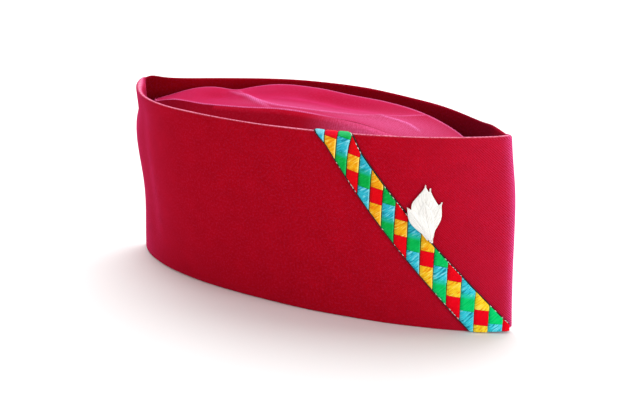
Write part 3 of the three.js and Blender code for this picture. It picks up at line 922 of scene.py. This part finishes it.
def makePlait():
    look = braidLook
    for name, satin in look["satins"].items():
        makeSatin(name, satin)
    cells = [makeCell(column, part) for column in range(-1, look["columns"]) for part in (1, 0, -1)]
    plait = joinPieces([cell for cell in cells if cell], "braid_plait")
    weld(plait)
    applyModifier(plait, "SOLIDIFY", thickness=look["cellCloth"], offset=-1.0)
    finishPiece(plait, ["braid"], look["sharpAngle"])


makeTape()
makePlait()
print("braid plaited")

# Selvedge stitches: short white threads that hold the braid's edges down, beside the red and green cells
stitchLook = {"pitch": 0.0021, "length": 0.0013, "thick": 0.00042, "lift": 0.0011, "inset": 0.00055,
              "unevenness": 0.35, "kept": {"redSatin": 0.9, "greenSatin": 0.55}, "endGap": 0.001, "seed": 4,
              "color": (0.80, 0.72, 0.70, 1), "shade": 0.75, "twist": 2200.0}


def columnOf(along, across):
    column = -1
    while along + columnEdge(column + 1)[1] * across < columnEdge(column + 1)[0]:
        column += 1
    return column


def makeStitchThread():
    look = stitchLook
    material, tree, shader = newMaterial("stitchThread")
    place = addNode(tree, "ShaderNodeTexCoord").outputs["Object"]
    twist = noiseNode(tree, place, look["twist"], 2.0)
    color = mixColor(tree, twist, darker(look["color"], look["shade"]), look["color"])
    tree.links.new(color, shader.inputs["Base Color"])
    setSockets(shader, {"Roughness": 0.55})
    return material


def makeStitch():  # a ball's faces come in another order each run, so they are sorted along a slant
    bpy.ops.object.select_all(action="DESELECT")
    bpy.ops.mesh.primitive_uv_sphere_add(segments=8, ring_count=6, radius=0.5)
    stitch = bpy.context.object
    slant = Vector((1, 0.31, 0.07))
    sorter = bmesh.new()
    sorter.from_mesh(stitch.data)
    sorter.faces.sort(key=lambda face: face.calc_center_median().dot(slant))
    sorter.to_mesh(stitch.data)
    sorter.free()
    return stitch


def makeStitches():
    look = stitchLook
    chance = np.random.default_rng(look["seed"])
    stitch = makeStitch()
    template = vertexPlaces(stitch) * (look["length"], look["thick"], look["thick"])
    lowest, highest = braidLow + look["endGap"], braidHigh - look["endGap"]
    copies = []
    for side in (-1, 1):
        for step in np.arange(braidLengths[0], braidLengths[-1], look["pitch"]):
            spot = step + look["pitch"] * look["unevenness"] * chance.uniform(-1, 1)
            size = 1 + look["unevenness"] * chance.uniform(-1, 1)
            drawn = chance.random()
            across = side * (braidHalf(spot) - look["inset"])
            around, run = wallSpot(spot, across)
            satin = satinOf(columnOf(spot, across), side)
            inside = around > braidLook["frontEnd"] and lowest < run < highest
            if drawn > look["kept"].get(satin, 0) or not inside:
                continue
            copy = stitch.copy()
            copy.data = stitch.data.copy()
            bpy.context.collection.objects.link(copy)
            placeVertices(copy, braidToWall(spot + size * template[:, 0], across + template[:, 1],
                                            look["lift"] + template[:, 2]))
            copies.append(copy)
    bpy.data.objects.remove(stitch)
    stitches = joinPieces(copies, "braid_stitches")
    stitches.data.materials.append(makeStitchThread())
    finishPiece(stitches)


makeStitches()
print("braid stitched down")

# Badge: a white flower bud of overlapping petals on a short stalk, worked flat and laid beside the braid
badgeLook = {
    "foot": (0.0438, 0.0491), "lift": 0.0004, "overBraid": 0.0020, "climb": (0.0010, 0.0070),
    "columns": 20, "rows": 44, "cloth": 0.0006, "dome": 0.0006,
    # From and to: right of and above the braid's crossing, tip last. Half: widest half, which is halfway up
    # for a peak of 1 and higher for more. Sharp: how hollow the sides are towards the tip.
    "petals": [
        {"from": (-0.0020, 0.0040), "to": (0.0008, 0.0320),
         "half": 0.0056, "peak": 1.00, "sharp": 1.7, "bow": 0.0, "layer": 0.0},
        {"from": (-0.0036, 0.0030), "to": (-0.0016, 0.0337),
         "half": 0.0080, "peak": 1.00, "sharp": 1.6, "bow": 0.0, "layer": 0.0001},
        {"from": (-0.0020, 0.0024), "to": (-0.0129, 0.0212),
         "half": 0.0034, "peak": 1.45, "sharp": 1.2, "bow": 0.0, "layer": 0.0003},
        {"from": (-0.0015, 0.0032), "to": (0.0063, 0.0246),
         "half": 0.0036, "peak": 1.16, "sharp": 1.6, "bow": 0.0015, "layer": 0.0003},
        {"from": (-0.0024, 0.0026), "to": (-0.0032, 0.0250),
         "half": 0.0044, "peak": 1.10, "sharp": 1.3, "bow": 0.0, "layer": 0.0006},
    ],
    "stalk": {"from": (-0.0013, 0.0018), "to": (-0.0032, 0.0100), "half": 0.0020, "ends": (0.25, 1.3),
              "dome": 0.6, "bow": 0.0, "layer": 0.0},
    "rib": {"depth": 0.00022, "width": 0.12, "sideAt": 0.5, "sideWidth": 0.10, "sideShare": 0.6},
    "ribShade": {"ramp": (0.045, 0.0), "share": 0.55},
    "veins": {"number": 9.0, "slant": 7.0, "ramp": (0.20, 0.08), "sides": (0.42, 0.30), "share": 0.75},
    "fibres": {"scale": (46, 5, 1), "ramp": (0.62, 0.30), "shade": 0.9, "bump": 0.25, "bumpDepth": 0.0001},
    "white": (0.81, 0.795, 0.76, 1), "vein": (0.38, 0.35, 0.30, 1),
}


def badgeToWall(x, y, lift):  # from the flat badge to the band, climbing on to the braid's edge
    look = badgeLook
    around, run = look["foot"][0] - x, look["foot"][1] + y
    clear = (np.interp(run, braidRuns, braidArounds) - around) * np.cos(tiltAt(run)) - halfAt(run)
    climb = 1 - softStep(clear, *look["climb"])
    return settle(bandPoint(turnAt(around), run, look["lift"] + look["overBraid"] * climb + lift))


def makePetal(petal, pointed):
    look = badgeLook
    rib = look["rib"]
    sheet = addGrid("petal", look["columns"], look["rows"])
    across, up = gridShares(sheet)
    side = 2 * across - 1
    (fromX, fromY), (toX, toY) = petal["from"], petal["to"]
    length = math.hypot(toX - fromX, toY - fromY)
    alongX, alongY = (toX - fromX) / length, (toY - fromY) / length
    bow = petal["bow"] * np.sin(math.pi * up)
    body = np.sqrt(np.maximum(0, 1 - side ** 2))
    if pointed:
        climb = up ** petal["peak"]
        hollow = np.where(climb < 0.5, 1.0, petal["sharp"])
        width = petal["half"] * np.maximum(0, np.sin(math.pi * climb)) ** hollow
    else:
        body = petal["dome"] * body
        width = petal["half"] * mix(*petal["ends"], up)
    x = mix(fromX, toX, up) - alongY * bow + alongY * side * width
    y = mix(fromY, toY, up) + alongX * bow - alongX * side * width
    sideRibs = rib["sideShare"] * hill((np.abs(side) - rib["sideAt"]) / rib["sideWidth"])
    groove = rib["depth"] * (hill(side / rib["width"]) + sideRibs) * np.sin(math.pi * up)
    lift = look["cloth"] + petal["layer"] + look["dome"] * body * np.sin(math.pi * up) ** 0.5 - groove
    placeVertices(sheet, badgeToWall(x, y, lift))
    layCloth(sheet, side * 0.5 + 0.5, up)
    weld(sheet, 1e-7)
    return sheet


def makeBadgeCloth():
    look = badgeLook
    ribShade, veins, fibres = look["ribShade"], look["veins"], look["fibres"]
    material, tree, shader = newMaterial("whiteBadge")
    uv = uvNode(tree)
    thread = noiseNode(tree, mapped(tree, uv, Scale=fibres["scale"]), 1.0, 3.0)
    split = addNode(tree, "ShaderNodeSeparateXYZ", {0: uv}).outputs
    fromRib = mathNode(tree, "ABSOLUTE", mathNode(tree, "SUBTRACT", split[0], 0.5))
    rib = rampNode(tree, fromRib, *ribShade["ramp"])
    climb = mathNode(tree, "SUBTRACT", mathNode(tree, "MULTIPLY", split[1], veins["number"]),
                     mathNode(tree, "MULTIPLY", fromRib, veins["slant"]))
    vein = mathNode(tree, "MULTIPLY", rampNode(tree, mathNode(tree, "FRACT", climb), *veins["ramp"]),
                    rampNode(tree, fromRib, *veins["sides"]))
    color = mixColor(tree, mathNode(tree, "MULTIPLY", rib, ribShade["share"]), look["white"], look["vein"])
    color = mixColor(tree, mathNode(tree, "MULTIPLY", vein, veins["share"]), color, look["vein"])
    shaded = rampNode(tree, thread, *fibres["ramp"])
    color = mixColor(tree, shaded, color, darker(look["white"], fibres["shade"]))
    tree.links.new(color, shader.inputs["Base Color"])
    bumpShader(tree, shader, thread, fibres["bump"], fibres["bumpDepth"])
    setSockets(shader, {"Roughness": 0.6, "Sheen Weight": 0.1})
    return material


def makeBadge():
    petals = [makePetal(badgeLook["stalk"], False)]
    petals += [makePetal(petal, True) for petal in badgeLook["petals"]]
    badge = joinPieces(petals, "flower_badge")
    applyModifier(badge, "SOLIDIFY", thickness=badgeLook["cloth"], offset=-1.0)
    badge.data.materials.append(makeBadgeCloth())
    finishPiece(badge, ["flower_badge"])


makeBadge()
print("badge sewn on")

# Studio: pale floor, white surround, soft lights, and the camera where the photograph was taken from
studio = {
    "floorSize": 14.0, "floorDrop": 0.0002, "floor": (0.90, 0.90, 0.90, 1), "surround": 0.30,
    "camera": {"place": (0.4834, -0.6368, 0.2724), "heading": 36.70, "pitch": 15.44, "lens": 80.10},
    "lights": [  # sides: width and height of each softbox
        {"name": "overheadPanel", "place": (-0.50, 1.00, 2.00), "sides": (3.0, 3.0), "power": 84.0},
        {"name": "rightSoftbox", "place": (1.50, -0.20, 0.55), "sides": (0.8, 0.8), "power": 17.0},
        {"name": "leftSoftbox", "place": (-1.60, -0.30, 0.50), "sides": (0.7, 0.7), "power": 5.0},
        {"name": "frontFill", "place": (-0.20, -1.70, 0.10), "sides": (1.4, 0.18), "power": 6.3},
    ],
}


def makeStudio():
    bpy.ops.object.select_all(action="DESELECT")
    bpy.ops.mesh.primitive_plane_add(size=studio["floorSize"], location=(0, 0, -studio["floorDrop"]))
    floor = bpy.context.object
    floor.name = "floor"
    material, _, shader = newMaterial("paleFloor")
    setSockets(shader, {"Base Color": studio["floor"], "Roughness": 0.85})
    floor.data.materials.append(material)
    world = bpy.data.worlds.new("whiteSurround")
    world.use_nodes = True
    setSockets(world.node_tree.nodes["Background"], {"Color": (1, 1, 1, 1), "Strength": studio["surround"]})
    bpy.context.scene.world = world
    middle = Vector((0, 0, capForm["height"] / 2))
    for light in studio["lights"]:
        bpy.ops.object.light_add(type="AREA", location=light["place"])
        lamp = bpy.context.object
        lamp.name = light["name"]
        lamp.data.shape = "RECTANGLE"
        lamp.data.size, lamp.data.size_y = light["sides"]
        lamp.data.energy = light["power"]
        lamp.rotation_euler = (middle - lamp.location).to_track_quat("-Z", "Y").to_euler()
    view = studio["camera"]
    bpy.ops.object.camera_add(location=view["place"],
                              rotation=(math.radians(90 - view["pitch"]), 0, math.radians(view["heading"])))
    camera = bpy.context.object
    camera.data.lens = view["lens"]
    camera.data.sensor_width = 36
    camera.data.clip_start = 0.01
    bpy.context.scene.camera = camera
    bpy.context.scene.view_settings.view_transform = "Standard"


makeStudio()
print("studio lit")
